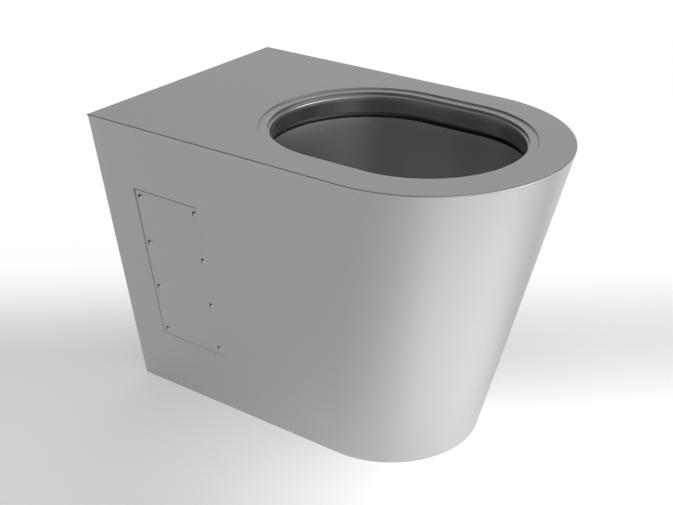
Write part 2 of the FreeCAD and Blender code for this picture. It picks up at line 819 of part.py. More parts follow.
def make_floor_bracket(name, side):
    """The angle welded inside one side of the shroud, with two holes for floor anchors."""
    body = new_body(f"floor_bracket_{name}")
    gauge = d.bracket_gauge
    hole_x = d.fixing_span / 2
    section = upright(body, "section", bracket_rear_y)
    polygon(
        section,
        [
            ((hole_x - d.fixing_edge) * side, 0),
            ((foot_half - d.sheet_gauge) * side, 0),
            ((side_at(d.bracket_rise) - d.sheet_gauge) * side, d.bracket_rise),
            ((side_at(d.bracket_rise) - d.sheet_gauge - gauge) * side, d.bracket_rise),
            ((side_at(gauge) - d.sheet_gauge - gauge) * side, gauge),
            ((hole_x - d.fixing_edge) * side, gauge),
        ],
    )
    pad(body, section, d.bracket_length)
    holes = level(body, "holes", gauge)
    for half_pitch in (-d.fixing_pitch / 2, d.fixing_pitch / 2):
        circle(holes, hole_x * side, panel_y + half_pitch, d.fixing_hole / 2)
    pocket(body, holes)
    return body


def make_deck_stiffener():
    """The open channel welded under the flat rear of the deck."""
    body = new_body("deck_stiffener")
    half_length = deck_half - d.sheet_gauge - d.stiffener_end_gap
    middle_y = wall_y - d.stiffener_to_wall
    half = d.stiffener_width / 2
    wall = d.sheet_gauge
    foot = deck_underside - d.stiffener_height
    section = profile(body, "section", -half_length)
    polygon(
        section,
        [
            (middle_y - half, deck_underside),
            (middle_y - half, foot),
            (middle_y + half, foot),
            (middle_y + half, deck_underside),
            (middle_y + half - wall, deck_underside),
            (middle_y + half - wall, foot + wall),
            (middle_y - half + wall, foot + wall),
            (middle_y - half + wall, deck_underside),
        ],
    )
    pad(body, section, half_length * 2)
    return body


def make_earth_tag():
    """The lug for the bonding wire, welded inside the right back fold."""
    body = new_body("earth_tag")
    fold_edge = side_at(d.earth_tag_height) - d.sheet_gauge - d.back_fold
    half = d.earth_tag_width / 2
    face = upright(body, "face", wall_y - d.sheet_gauge)
    rectangle(
        face,
        fold_edge - d.earth_tag_reach,
        fold_edge + d.earth_tag_overlap,
        d.earth_tag_height - half,
        d.earth_tag_height + half,
    )
    circle(face, fold_edge - d.earth_tag_reach / 2, d.earth_tag_height, d.earth_hole / 2)
    pad(body, face, d.earth_tag_gauge)
    return body


def make_access_panel(name, side):
    """One access panel, set a little below the shroud's face."""
    body = new_body(f"access_panel_{name}")
    face = side_layer(body, side, "face", panel_back_depth)
    side_rectangle(face, d.panel_width, d.panel_length)
    screw_circles(face, d.screw_diameter / 2 + d.screw_clearance)
    pad(body, face, d.panel_gauge, backwards=side < 0)
    lay_on_side(body, side)
    return body


def make_panel_frame(name, side):
    """The seat frame welded behind the opening: a land against the shroud and a rebated seat for the panel."""
    body = new_body(f"panel_frame_{name}")
    outer_width = opening_width + d.frame_land * 2
    outer_length = opening_length + d.frame_land * 2
    seat = side_layer(body, side, "seat", seat_back_depth)
    side_rectangle(seat, outer_width, outer_length)
    side_rectangle(seat, d.panel_width - d.frame_seat * 2, d.panel_length - d.frame_seat * 2)
    screw_circles(seat, d.screw_diameter / 2 + d.nut_pilot + d.nut_clearance)
    pad(body, seat, d.frame_gauge, backwards=side < 0)
    land = side_layer(body, side, "land", panel_back_depth)
    side_rectangle(land, outer_width, outer_length)
    side_rectangle(land, opening_width, opening_length)
    pad(body, land, panel_back_depth - d.sheet_gauge, backwards=side < 0)
    lay_on_side(body, side)
    return body


def make_panel_nuts(name, side):
    """Eight clinch nuts behind the seat, each with a pilot in the frame's hole."""
    body = new_body(f"panel_nuts_{name}")
    bore = d.screw_diameter / 2 + d.nut_clearance
    nuts = side_layer(body, side, "nuts", seat_back_depth + d.nut_height)
    screw_circles(nuts, d.nut_diameter / 2, bore)
    pad(body, nuts, d.nut_height, backwards=side < 0)
    pilots = side_layer(body, side, "pilots", seat_back_depth)
    screw_circles(pilots, d.screw_diameter / 2 + d.nut_pilot, bore)
    pad(body, pilots, d.frame_gauge - d.nut_clearance, backwards=side < 0)
    lay_on_side(body, side)
    return body


def make_panel_screws(name, side):
    """Eight button-head screws with pinned sockets."""
    body = new_body(f"panel_screws_{name}")
    shanks = side_layer(body, side, "shanks", d.panel_recess + d.screw_length)
    screw_circles(shanks, d.screw_diameter / 2)
    pad(body, shanks, d.screw_length, backwards=side < 0)
    heads = side_layer(body, side, "heads", d.panel_recess)
    screw_circles(heads, d.screw_head_diameter / 2)
    pad(body, heads, d.screw_head_height, backwards=side < 0)
    crown = (d.screw_head_height - d.panel_recess) * side
    round_edges(
        body, d.screw_head_round, lambda edge: abs(edge.BoundBox.Center.x - crown.value) < EDGE_SLACK
    )
    sockets = side_layer(body, side, "sockets", d.panel_recess - d.screw_head_height)
    screw_circles(sockets, d.socket_diameter / 2, d.socket_pin_diameter / 2)
    pocket(body, sockets, d.socket_depth, along_normal=side < 0)
    lay_on_side(body, side)
    return body


pieces = [
    make_shroud(),
    make_deck(),
    make_flush_rim_band(),
    make_bowl(),
    make_flush_box(),
    make_flow_divider(),
    make_tube("inlet_pipe", inlet_z, inlet_outer, inlet_bore, box_rear_y, inlet_end_y),
    make_inlet_seal(),
    make_trap_bend(),
    make_trap_elbow(),
    make_outlet_reducer(),
    make_tube("outlet_spigot", d.outlet_height, outlet_outer, outlet_bore, reducer_end_y, spigot_end_y),
    make_outlet_saddle(),
    make_base_flange(),
    make_deck_stiffener(),
    make_earth_tag(),
]
for side_name, side_sign in SIDES.items():
    pieces.append(make_floor_bracket(side_name, side_sign))
    pieces.append(make_panel_frame(side_name, side_sign))
    pieces.append(make_panel_nuts(side_name, side_sign))
    pieces.append(make_access_panel(side_name, side_sign))
    pieces.append(make_panel_screws(side_name, side_sign))

doc.recompute()
for item in doc.Objects:
    if "Invalid" in item.State or "Error" in item.State:
        raise RuntimeError(f"{item.Label} is {item.State}")
for piece in pieces:
    if piece.Shape.isNull() or not piece.Shape.isValid():
        raise RuntimeError(f"{piece.Label} has no valid shape")

os.makedirs("parts", exist_ok=True)
for piece in pieces:
    piece.Shape.exportStep(f"parts/{piece.Label}.step")
    print(f"{piece.Label}: {len(piece.Shape.Solids)} solids, {piece.Shape.Volume:.0f} mm3")
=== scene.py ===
import math

import bpy
import numpy as np
from mathutils import Matrix


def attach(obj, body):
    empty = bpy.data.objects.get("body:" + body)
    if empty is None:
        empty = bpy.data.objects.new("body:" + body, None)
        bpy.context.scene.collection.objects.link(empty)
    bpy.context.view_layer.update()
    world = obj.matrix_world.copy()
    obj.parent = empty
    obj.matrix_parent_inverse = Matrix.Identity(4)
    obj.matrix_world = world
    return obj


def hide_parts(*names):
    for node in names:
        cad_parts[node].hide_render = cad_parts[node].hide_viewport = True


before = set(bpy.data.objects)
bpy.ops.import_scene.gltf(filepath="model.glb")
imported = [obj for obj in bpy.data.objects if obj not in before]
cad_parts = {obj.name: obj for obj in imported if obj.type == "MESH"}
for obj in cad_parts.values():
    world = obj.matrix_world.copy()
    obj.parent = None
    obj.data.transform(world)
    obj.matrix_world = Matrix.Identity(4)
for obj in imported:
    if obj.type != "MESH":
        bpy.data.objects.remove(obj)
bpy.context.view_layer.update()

# Shroud: the tapered outer skin of the pan. One 1.5 mm sheet of 304 stainless steel is rolled round a
# D-shaped plan, folded in at the back so that it can stand against the wall, cut out for the two access
# panels and finished with a satin brush along the sheet.
MM = 0.001
SHEET = 1.5
WALL_Y = 280.0
SHROUD_TOP = 398.0
FOOT_HALF, FOOT_CENTRE_Y = 117.0, -58.0
DECK_HALF, DECK_CENTRE_Y = 175.0, -105.0
BACK_BEND, BACK_FOLD = 3.0, 26.5
BACK_OPENING_HEAD = 366.0
SIDE_SLOPE = (DECK_HALF - FOOT_HALF) / SHROUD_TOP
TILT = math.atan(SIDE_SLOPE)
PANEL_Y, PANEL_Z = 169.0, 198.6
OPENING_HALF_WIDTH = 53.3
OPENING_BELOW, OPENING_ABOVE = 111.6, 113.0
OPENING_FOOT = PANEL_Z - OPENING_BELOW * math.cos(TILT)
OPENING_HEAD = PANEL_Z + OPENING_ABOVE * math.cos(TILT)
SIDE_START_Y = -30.0
SIDE_FRONT_STATIONS, SIDE_REAR_STATIONS = (0.0, 40.0, 80.0), (240.0, 260.0)
CREASE_ANGLE = 35.0
NEAR = 0.01


def linear(code):
    """An sRGB hex colour as linear light: each channel is undone from the sRGB curve."""
    channels = np.array([int(code[i:i + 2], 16) for i in (1, 3, 5)]) / 255
    light = np.where(channels <= 0.04045, channels / 12.92, ((channels + 0.055) / 1.055) ** 2.4)
    return (*light.tolist(), 1.0)


def add(tree, kind, settings=None, values=None, links=None):
    """Add one node with its settings, the values of its inputs and the sockets that feed them."""
    made = tree.nodes.new(kind)
    for key, value in (settings or {}).items():
        setattr(made, key, value)
    for key, value in (values or {}).items():
        made.inputs[key].default_value = value
    for key, socket in (links or {}).items():
        tree.links.new(socket, made.inputs[key])
    return made


# The sockets of a Mix node that carry colours, the part of a noise's range that is used, the depth in mm of
# the scratches, and how far a brushed sheet smears its reflections.
COLOUR_A, COLOUR_B, COLOUR_OUT = 6, 7, 2
NOISE_LOW, NOISE_HIGH = 0.3, 0.7
SCRATCH_DEPTH = 0.2
BRUSH_SMEAR = 0.75


def stainless(name, pale, dark, rough, rough_play, grain, blotch, scratch, across=None):
    """A stainless steel: grain is the size in mm of a brush line along x, y and z, and roughness and a shallow
    bump follow it; broad blotches, a size in mm, from handling, shift the colour and the roughness a little.
    A brushed sheet smears reflections along the direction across its lines."""
    material = bpy.data.materials.new(name)
    material.use_nodes = True
    tree = material.node_tree
    shader = tree.nodes["Principled BSDF"]
    shader.inputs["Metallic"].default_value = 1.0
    position = add(tree, "ShaderNodeTexCoord").outputs["Object"]
    stretched = add(tree, "ShaderNodeMapping", values={"Scale": [1 / (size * MM) for size in grain]},
                    links={"Vector": position})
    lines = add(tree, "ShaderNodeTexNoise", values={"Scale": 1.0, "Detail": 3.0, "Roughness": 0.6},
                links={"Vector": stretched.outputs[0]})
    blotches = add(tree, "ShaderNodeTexNoise", values={"Scale": 1 / (blotch * MM), "Detail": 2.0},
                   links={"Vector": position})
    tone = add(tree, "ShaderNodeMix", {"data_type": "FLOAT"}, {"Factor": 0.5},
               {"A": lines.outputs[0], "B": blotches.outputs[0]})
    spread = add(tree, "ShaderNodeMapRange", values={"From Min": NOISE_LOW, "From Max": NOISE_HIGH},
                 links={"Value": tone.outputs[0]})
    colour = add(tree, "ShaderNodeMix", {"data_type": "RGBA"},
                 {COLOUR_A: linear(dark), COLOUR_B: linear(pale)}, {"Factor": spread.outputs[0]})
    tree.links.new(colour.outputs[COLOUR_OUT], shader.inputs["Base Color"])
    gloss = add(tree, "ShaderNodeMapRange",
                values={"From Min": NOISE_LOW, "From Max": NOISE_HIGH,
                        "To Min": rough - rough_play, "To Max": rough + rough_play},
                links={"Value": tone.outputs[0]})
    tree.links.new(gloss.outputs[0], shader.inputs["Roughness"])
    relief = add(tree, "ShaderNodeBump", values={"Strength": scratch, "Distance": SCRATCH_DEPTH * MM},
                 links={"Height": lines.outputs[0]})
    tree.links.new(relief.outputs[0], shader.inputs["Normal"])
    if across:
        shader.inputs["Anisotropic"].default_value = BRUSH_SMEAR
        smear = add(tree, "ShaderNodeCombineXYZ", values=dict(zip("XYZ", across)))
        tree.links.new(smear.outputs[0], shader.inputs["Tangent"])
    return material


# Satin-brushed 304 stainless: a fine belt-ground grain that spreads a reflection into a soft grey sheen. The
# real lines are about 0.1 mm apart, too fine for the picture, so they are drawn 0.7 mm apart and 90 mm long.
GRAIN_LENGTH, GRAIN_WIDTH = 90.0, 0.7
satin_round = stainless("satin_brushed_304_round_the_skin", "#D0D0D0", "#C8C8C8", rough=0.42, rough_play=0.03,
                        grain=(GRAIN_LENGTH, GRAIN_LENGTH, GRAIN_WIDTH), blotch=160.0, scratch=0.04,
                        across=(0, 0, 1))


def skin(name, points, material, close_rows=False, close_columns=True, keep=None, caps=False):
    """A mesh over grids of points in mm, row after row along the profile and column after column round the
    path. Rows or columns that close run on into the first; keep picks quads, and caps close the first and
    last rows. Edges at a crease or at an open border are sharp."""
    rows, columns = points.shape[-3:-1]
    grids = points.reshape(-1, rows, columns, 3)
    index = np.arange(rows * columns).reshape(rows, columns)
    first, last = index[0, ::-1], index[-1]
    index = np.vstack([index, index[:1]]) if close_rows else index
    index = np.hstack([index, index[:, :1]]) if close_columns else index
    quads = np.stack([index[:-1, :-1], index[:-1, 1:], index[1:, 1:], index[1:, :-1]], axis=-1)
    quads = quads.reshape(-1, 4) if keep is None else quads[keep]
    starts = np.arange(len(grids))[:, None, None] * rows * columns
    used, faces = np.unique(quads + starts, return_inverse=True)
    faces = faces.reshape(-1, 4).tolist()
    if caps:
        faces += (np.stack([first, last]) + starts).reshape(-1, columns).tolist()
    mesh = bpy.data.meshes.new(name)
    mesh.from_pydata((grids.reshape(-1, 3)[used] * MM).tolist(), [], faces)
    mesh.shade_smooth()
    mesh.set_sharp_from_angle(angle=math.radians(CREASE_ANGLE))
    sharp = np.zeros(len(mesh.edges), bool)
    mesh.edges.foreach_get("use_edge_sharp", sharp)
    around = np.zeros(len(mesh.loops), int)
    mesh.loops.foreach_get("edge_index", around)
    border = np.bincount(around, minlength=len(sharp)) == 1
    mesh.edges.foreach_set("use_edge_sharp", sharp | border)
    mesh.materials.append(material)
    thing = bpy.data.objects.new(name, mesh)
    bpy.context.scene.collection.objects.link(thing)
    return thing


def quad_middles(grid):
    """The x, y and z of the middle of every quad in a grid whose columns close: the mean of its corners."""
    ring = np.concatenate([grid, grid[:, :1]], axis=1)
    return np.moveaxis((ring[:-1, :-1] + ring[:-1, 1:] + ring[1:, :-1] + ring[1:, 1:]) / 4, -1, 0)


def thicken(thing):
    """Give a skin the thickness of the sheet, behind its face."""
    wall = thing.modifiers.new("sheet", "SOLIDIFY")
    wall.thickness = SHEET * MM
    wall.offset = -1.0
    wall.use_even_offset = True


def seat(thing, body, node):
    """Let a new piece ride on its body and stand for its CAD node, which is hidden."""
    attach(thing, body)
    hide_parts(node)


def shroud_sleeve(z):
    """The tapered D at heights z, anticlockwise from the front left: half width and front centre change evenly
    with height; then come a half circle, straight sides, small bends at the back corners and the flat back."""
    share = (z / SHROUD_TOP)[:, None]
    half = FOOT_HALF + (DECK_HALF - FOOT_HALF) * share
    centre = FOOT_CENTRE_Y + (DECK_CENTRE_Y - FOOT_CENTRE_Y) * share
    level = np.ones_like(share)
    turn = np.linspace(np.pi, 2 * np.pi, 129)[None, :]
    front_x, front_y = half * np.cos(turn), centre + half * np.sin(turn)
    low_y = centre + (SIDE_START_Y - centre) * np.arange(1, 7)[None, :] / 6
    panel_edges = PANEL_Y + OPENING_HALF_WIDTH * np.linspace(-1, 1, 7)
    stations = (SIDE_FRONT_STATIONS, panel_edges, SIDE_REAR_STATIONS, [WALL_Y - BACK_BEND])
    high_y = level * np.concatenate(stations)
    side_y = np.hstack([low_y, high_y])
    side_x = half * np.ones_like(side_y)
    bend = np.linspace(0, np.pi / 2, 7)[None, 1:]
    bend_x = half - BACK_BEND + BACK_BEND * np.cos(bend)
    bend_y = level * (WALL_Y - BACK_BEND + BACK_BEND * np.sin(bend))
    back_x = (half - BACK_FOLD) * np.linspace(1, -1, 13)[None, :]
    back_y = WALL_Y * np.ones_like(back_x)
    x = np.hstack([front_x, side_x, bend_x, back_x, -bend_x[:, ::-1], -side_x[:, ::-1]])
    y = np.hstack([front_y, side_y, bend_y, back_y, bend_y[:, ::-1], side_y[:, ::-1]])
    return np.stack([x, y, z[:, None] * np.ones_like(x)], axis=-1)


sleeve = shroud_sleeve(np.concatenate([
    np.linspace(0, OPENING_FOOT, 9)[:-1],
    np.linspace(OPENING_FOOT, OPENING_HEAD, 15)[:-1],
    np.linspace(OPENING_HEAD, BACK_OPENING_HEAD, 6)[:-1],
    np.linspace(BACK_OPENING_HEAD, SHROUD_TOP, 5),
]))
quad_x, quad_y, quad_z = quad_middles(sleeve)
back_half = FOOT_HALF + SIDE_SLOPE * quad_z - BACK_FOLD
in_panel = (abs(quad_y - PANEL_Y) < OPENING_HALF_WIDTH) & (quad_z > OPENING_FOOT) & (quad_z < OPENING_HEAD)
in_back = (quad_y > WALL_Y - NEAR) & (abs(quad_x) < back_half) & (quad_z < BACK_OPENING_HEAD)
shroud = skin("shroud_skin", sleeve, satin_round, keep=~(in_panel | in_back))
thicken(shroud)
seat(shroud, "pan", "shroud")

# Deck: the pressed top plate of the pan, 1.5 mm satin stainless brushed from front to back. Its edge bends
# down on to the top of the shroud, where it is welded and ground flush; two pressed steps and a rolled lip
# lead into the oval mouth. Its stations also fall on the sides of the flush slot in the bowl's wall below.
DECK_TOP = 400.0
DECK_EDGE_ROUND = 1.3
MOUTH_FRONT_Y, MOUTH_REAR_Y = -103.0, -23.0
MOUTH, LEDGE, LIP = 133.0, 122.7, 119.7
STEP_ONE, STEP_TWO, LIP_END = 397.6, 393.6, 387.6
PRESS_ROUND, PRESS_SLOPE = 0.5, 60.0
LEDGE_CREASE = 0.2
LIP_ROUND = 2.8
FLAT_ROW = 1.0
BOWL, SLOT_HALF = 136.0, 39.5
HAIR = 1e-9


def arc(centre_u, centre_v, radius, start, end, count=8):
    """Points on a circular bend: centre plus radius times the cosine and sine, from start to end in degrees."""
    turn = np.radians(np.linspace(start, end, count + 1))
    return np.stack([centre_u + radius * np.cos(turn), centre_v + radius * np.sin(turn)], axis=-1)


slot_turn = math.acos(SLOT_HALF / BOWL)
corner_turn = math.atan2(WALL_Y - MOUTH_REAR_Y, DECK_HALF)
rear_turn = np.concatenate([
    np.linspace(0, corner_turn, 25),
    np.linspace(corner_turn, slot_turn, 7)[1:],
    np.linspace(slot_turn, np.pi - slot_turn, 17)[1:],
    np.linspace(np.pi - slot_turn, np.pi - corner_turn, 7)[1:],
    np.linspace(np.pi - corner_turn, np.pi, 25)[1:],
])
front_turn = np.linspace(np.pi, 2 * np.pi, 97)
straight = np.linspace(0, 1, 9)[1:-1]
facing = np.concatenate([front_turn, 0 * straight, rear_turn, np.pi + 0 * straight])
along = np.concatenate([0 * front_turn, straight, np.ones_like(rear_turn), straight[::-1]])


def oval_rows(radius, z, front_y, rear_y):
    """Straight-sided ovals, anticlockwise: a point on the middle line plus the radius times its outward
    direction, where the middle line runs from the front centre to the rear centre."""
    count = len(radius)
    radius, z, front_y, rear_y = (np.broadcast_to(value, count)[:, None]
                                  for value in (radius, z, front_y, rear_y))
    x = radius * np.cos(facing)
    y = front_y + (rear_y - front_y) * along + radius * np.sin(facing)
    return np.stack([x, y, z + 0 * x], axis=-1)


def deck_rows(inset, z):
    """The deck's D outline moved inwards by inset: the front half circle, then straight sides and a square
    back, with its points spread to face the same oval stations."""
    half = DECK_HALF - inset[:, None]
    back = WALL_Y - inset[:, None]
    front, rear = along == 0, along == 1
    behind = rear & (np.sin(facing) > math.sin(corner_turn) - HAIR)
    reach = np.where(rear, np.minimum(1, np.abs(np.tan(facing)) / math.tan(corner_turn)), 0)
    side_x = half * np.sign(np.cos(facing))
    side_y = np.where(rear, MOUTH_REAR_Y + (back - MOUTH_REAR_Y) * reach,
                      DECK_CENTRE_Y + (MOUTH_REAR_Y - DECK_CENTRE_Y) * along)
    back_x = half * math.tan(corner_turn) / np.where(rear, np.tan(np.where(facing == 0, 1, facing)), 1)
    back_x = np.clip(back_x, -half, half)
    x = np.where(front, half * np.cos(facing), np.where(behind, back_x, side_x))
    y = np.where(front, DECK_CENTRE_Y + half * np.sin(facing), np.where(behind, back, side_y))
    return np.stack([x, y, z[:, None] + 0 * x], axis=-1)


edge = np.concatenate([
    [[0, SHROUD_TOP]],
    arc(DECK_EDGE_ROUND, DECK_TOP - DECK_EDGE_ROUND, DECK_EDGE_ROUND, 180, 90),
    [[DECK_EDGE_ROUND + FLAT_ROW, DECK_TOP]],
])
slope = math.radians(PRESS_SLOPE)
press_fall = DECK_TOP - STEP_ONE - 2 * PRESS_ROUND * (1 - math.cos(slope))
press_reach = press_fall / math.tan(slope) / 2 + PRESS_ROUND * math.sin(slope)
mouth = np.concatenate([
    [[MOUTH + press_reach + FLAT_ROW, DECK_TOP]],
    arc(MOUTH + press_reach, DECK_TOP - PRESS_ROUND, PRESS_ROUND, 90, 90 + PRESS_SLOPE),
    arc(MOUTH - press_reach, STEP_ONE + PRESS_ROUND, PRESS_ROUND, PRESS_SLOPE - 90, -90),
    arc(LEDGE + LEDGE_CREASE, STEP_ONE - LEDGE_CREASE, LEDGE_CREASE, 90, 180),
    [[LEDGE, STEP_TWO]],
    arc(LIP + LIP_ROUND, STEP_TWO - LIP_ROUND, LIP_ROUND, 90, 180, 12),
    [[LIP, LIP_END], [LIP + SHEET, LIP_END]],
    arc(LIP + LIP_ROUND, STEP_TWO - LIP_ROUND, LIP_ROUND - SHEET, 180, 90),
    [[LEDGE + SHEET, STEP_TWO - SHEET], [LEDGE + SHEET, STEP_ONE - SHEET]],
    [[MOUTH + SHEET, STEP_ONE - SHEET], [MOUTH + SHEET, DECK_TOP - SHEET]],
])
inner_edge = np.array([[SHEET, DECK_TOP - SHEET], [SHEET, SHROUD_TOP]])
deck_grid = np.concatenate([
    deck_rows(*edge.T),
    oval_rows(*mouth.T, MOUTH_FRONT_Y, MOUTH_REAR_Y),
    deck_rows(*inner_edge.T),
])
satin_deck = stainless("satin_brushed_304_front_to_back", "#D0D0D0", "#C8C8C8", rough=0.34, rough_play=0.03,
                       grain=(GRAIN_WIDTH, GRAIN_LENGTH, GRAIN_LENGTH), blotch=160.0, scratch=0.04)
deck = skin("deck_plate", deck_grid, satin_deck, close_rows=True)
seat(deck, "pan", "deck")

# Flushing rim band: a hoop of 1.5 mm stainless strip welded below the rolled lip. It hangs inside the bowl,
# and the flush water runs out of the rim channel through the gap between its lower edge and the bowl.
BAND_FOOT = 371.5
band_profile = np.concatenate([
    [[LIP, LIP_END]],
    arc(LIP + SHEET / 2, BAND_FOOT + SHEET / 2, SHEET / 2, 180, 360),
    [[LIP + SHEET, LIP_END]],
])
# Bright-rolled 304 strip: smoother than the brushed sheet, so the band mirrors the dark bowl that it faces.
bright_strip = stainless("bright_rolled_304_strip", "#CACACA", "#C0C0C0", rough=0.22, rough_play=0.03,
                         grain=(GRAIN_LENGTH, GRAIN_LENGTH, GRAIN_WIDTH), blotch=70.0, scratch=0.02)
band_grid = oval_rows(*band_profile.T, MOUTH_FRONT_Y, MOUTH_REAR_Y)
band = skin("rim_band_hoop", band_grid, bright_strip, close_rows=True)
seat(band, "pan", "flush_rim_band")

# Bowl: deep-drawn from 1.5 mm stainless and blasted inside. A flange is welded under the deck, a straight wall
# and a ledge make the outside and floor of the rim channel, and the bowl then draws in to the round neck above
# the trap.
WELL = 126.0
FLANGE, FLANGE_MIDDLE, FLANGE_TOP = 149.5, 143.0, 398.5
SHOULDER = 362.0
LEDGE_ROUND = 0.4
NECK, NECK_TOP, NECK_MIDDLE, NECK_FOOT = 37.5, 130.0, 120.0, 110.0
SUMP_Y, SUMP_HALF = 15.0, 0.5
FULLNESS = 0.8
SLOT_LOW, SLOT_HIGH = 366.0, 392.0
channel_wall = np.concatenate([np.linspace(FLANGE_TOP, SLOT_HIGH, 4), np.linspace(SLOT_HIGH, SLOT_LOW, 8)[1:]])
rim = np.concatenate([
    [[FLANGE, FLANGE_TOP], [FLANGE_MIDDLE, FLANGE_TOP]],
    np.stack([BOWL + 0 * channel_wall, channel_wall], axis=-1),
    arc(BOWL - LEDGE_ROUND, SHOULDER + LEDGE_ROUND, LEDGE_ROUND, 0, -90, 5),
    arc(WELL + LEDGE_ROUND, SHOULDER - LEDGE_ROUND, LEDGE_ROUND, 90, 180, 5),
])
depth = np.sin(np.linspace(0, np.pi / 2, 49))[2:]
fullness = (1 - depth**2) ** FULLNESS
bowl_radius = np.concatenate([rim[:, 0], NECK + (WELL - NECK) * fullness, [NECK, NECK]])
bowl_z = np.concatenate([rim[:, 1], SHOULDER + (NECK_TOP - SHOULDER) * depth, [NECK_MIDDLE, NECK_FOOT]])
still = np.concatenate([np.ones(len(rim)), fullness, [0, 0]])
sump_front_y, sump_rear_y = SUMP_Y - SUMP_HALF, SUMP_Y + SUMP_HALF
bowl_grid = oval_rows(bowl_radius, bowl_z, sump_front_y + (MOUTH_FRONT_Y - sump_front_y) * still,
                      sump_rear_y + (MOUTH_REAR_Y - sump_rear_y) * still)
quad_x, quad_y, quad_z = quad_middles(bowl_grid)
flush_slot = (abs(quad_x) < SLOT_HALF) & (quad_y > 0) & (quad_z > SLOT_LOW) & (quad_z < SLOT_HIGH)
# Bead-blasted 304: the inside is matt and even, so it stays a plain dark grey in its own shade. Its pits are
# about 0.05 mm, drawn 1 mm across.
blasted = stainless("bead_blasted_304_inside", "#D8D8D8", "#CECECE", rough=0.46, rough_play=0.04,
                    grain=(1.0, 1.0, 1.0), blotch=70.0, scratch=0.05)
# Channel steel: 304 left rougher, its colour darkened as painted shade for the shade inside the rim channel.
dulled = stainless("channel_304_with_painted_shade", "#9F9F9F", "#939393", rough=0.55, rough_play=0.05,
                   grain=(5.0, 5.0, 5.0), blotch=30.0, scratch=0.05)
bowl = skin("bowl_pressing", bowl_grid, blasted, keep=~flush_slot)
bowl.data.materials.append(dulled)
# The rim channel's quads, above the shoulder, take the darkened steel: painted shade.
in_channel = quad_z[~flush_slot] > SHOULDER - NEAR
bowl.data.polygons.foreach_set("material_index", in_channel.astype(np.int32))
thicken(bowl)
seat(bowl, "pan", "bowl")

# Trap and outlet: bent and swaged stainless tube with 1.5 mm walls in the mill's matt grey finish, butt-welded
# in line: the trap bend under the bowl's neck, the elbow, the reducer and the spigot for the drain connector.
TRAP_Z, TRAP_BEND, RISER_Y = 95.0, 50.0, 115.0
ELBOW_Z, ELBOW_BEND, OUTLET_Z = 125.0, 55.0, 180.0
ELBOW_END, REDUCER_END, SPIGOT_END = 186.0, 216.0, 270.0
TRAP, SPIGOT = 39.0, 51.0
round_tube = np.linspace(0, 2 * np.pi, 73)[:-1]
# Mill-finish 304: cold rolled and pickled, an even matt grey with a faint cloudiness and no brush lines.
mill = stainless("mill_finish_304", "#BEBEBE", "#ACACAC", rough=0.42, rough_play=0.05,
                 grain=(6.0, 6.0, 6.0), blotch=45.0, scratch=0.06)


def run(start, end, count):
    """A straight stretch of tube in the middle plane: points y, z from start to end and their common
    direction."""
    start, end = np.array(start), np.array(end)
    points = start + (end - start) * np.linspace(0, 1, count + 1)[:, None]
    return np.hstack([points, np.broadcast_to((end - start) / np.linalg.norm(end - start), points.shape)])


def bend_run(centre, radius, start, end, count):
    """A bent stretch in the middle plane: centre plus radius at an angle, its direction a quarter turn on."""
    turn = np.radians(np.linspace(start, end, count + 1))
    way = np.sign(end - start)
    return np.stack([centre[0] + radius * np.cos(turn), centre[1] + radius * np.sin(turn),
                     -way * np.sin(turn), way * np.cos(turn)], axis=-1)


def tube_rows(path, radius):
    """Rings along a path: each is its centre plus the radius times the cosine of the angle along the upright
    normal and the sine along x."""
    y, z, to_y, to_z = path.T[:, :, None]
    radius = np.broadcast_to(radius, len(path))[:, None]
    swing = radius * np.cos(round_tube)
    return np.stack([radius * np.sin(round_tube) + 0 * y, y - to_z * swing, z + to_y * swing], axis=-1)


def tube(name, node, path, outer, bore):
    """A tube with a real wall: rings of the outer radius along the path, then rings of the bore back again."""
    outer, bore = (np.broadcast_to(value, len(path)) for value in (outer, bore))
    rows = np.concatenate([tube_rows(path, outer), tube_rows(path[::-1], bore[::-1])])
    seat(skin(name, rows, mill, close_rows=True), "pan", node)


trap_path = np.concatenate([
    run((SUMP_Y, NECK_FOOT), (SUMP_Y, TRAP_Z), 2)[:-1],
    bend_run((SUMP_Y + TRAP_BEND, TRAP_Z), TRAP_BEND, 180, 360, 40),
    run((RISER_Y, TRAP_Z), (RISER_Y, ELBOW_Z), 3)[1:],
])
elbow_path = np.concatenate([
    bend_run((RISER_Y + ELBOW_BEND, ELBOW_Z), ELBOW_BEND, 180, 90, 24),
    run((RISER_Y + ELBOW_BEND, OUTLET_Z), (ELBOW_END, OUTLET_Z), 2)[1:],
])
reducer_path = run((ELBOW_END, OUTLET_Z), (REDUCER_END, OUTLET_Z), 16)
flare = TRAP + (SPIGOT - TRAP) * (1 - np.cos(np.linspace(0, np.pi, len(reducer_path)))) / 2
spigot_path = run((REDUCER_END, OUTLET_Z), (SPIGOT_END, OUTLET_Z), 4)
tube("trap_bend_tube", "trap_bend", trap_path, TRAP, TRAP - SHEET)
tube("trap_elbow_tube", "trap_elbow", elbow_path, TRAP, TRAP - SHEET)
tube("outlet_reducer_cone", "outlet_reducer", reducer_path, flare, flare - SHEET)
tube("outlet_spigot_tube", "outlet_spigot", spigot_path, SPIGOT, SPIGOT - SHEET)

# Flush inlet: a stub of mill-finish tube welded into the flush box behind the bowl, and a moulded black rubber
# cuff pushed into its open end, whose ribs grip the flush pipe.
INLET_Z, INLET, INLET_BORE = 332.0, 27.5, 26.0
INLET_START, INLET_END = 164.6, 268.0
CUFF, CUFF_BORE, CUFF_START, CUFF_EASE = 25.9, 22.0, 243.0, 0.6
COLLAR, COLLAR_END, COLLAR_ROUND, COLLAR_FLARE = 30.0, 271.0, 0.8, 1.5
RIB_START, RIB_END = CUFF_START + 1.0, COLLAR_END - 2.0
RIB_DEPTH, RIB_PITCH = 1.0, 6.0
RUBBER_GRAIN = 1.5
tube("inlet_stub", "inlet_pipe", run((INLET_START, INLET_Z), (INLET_END, INLET_Z), 8), INLET, INLET_BORE)
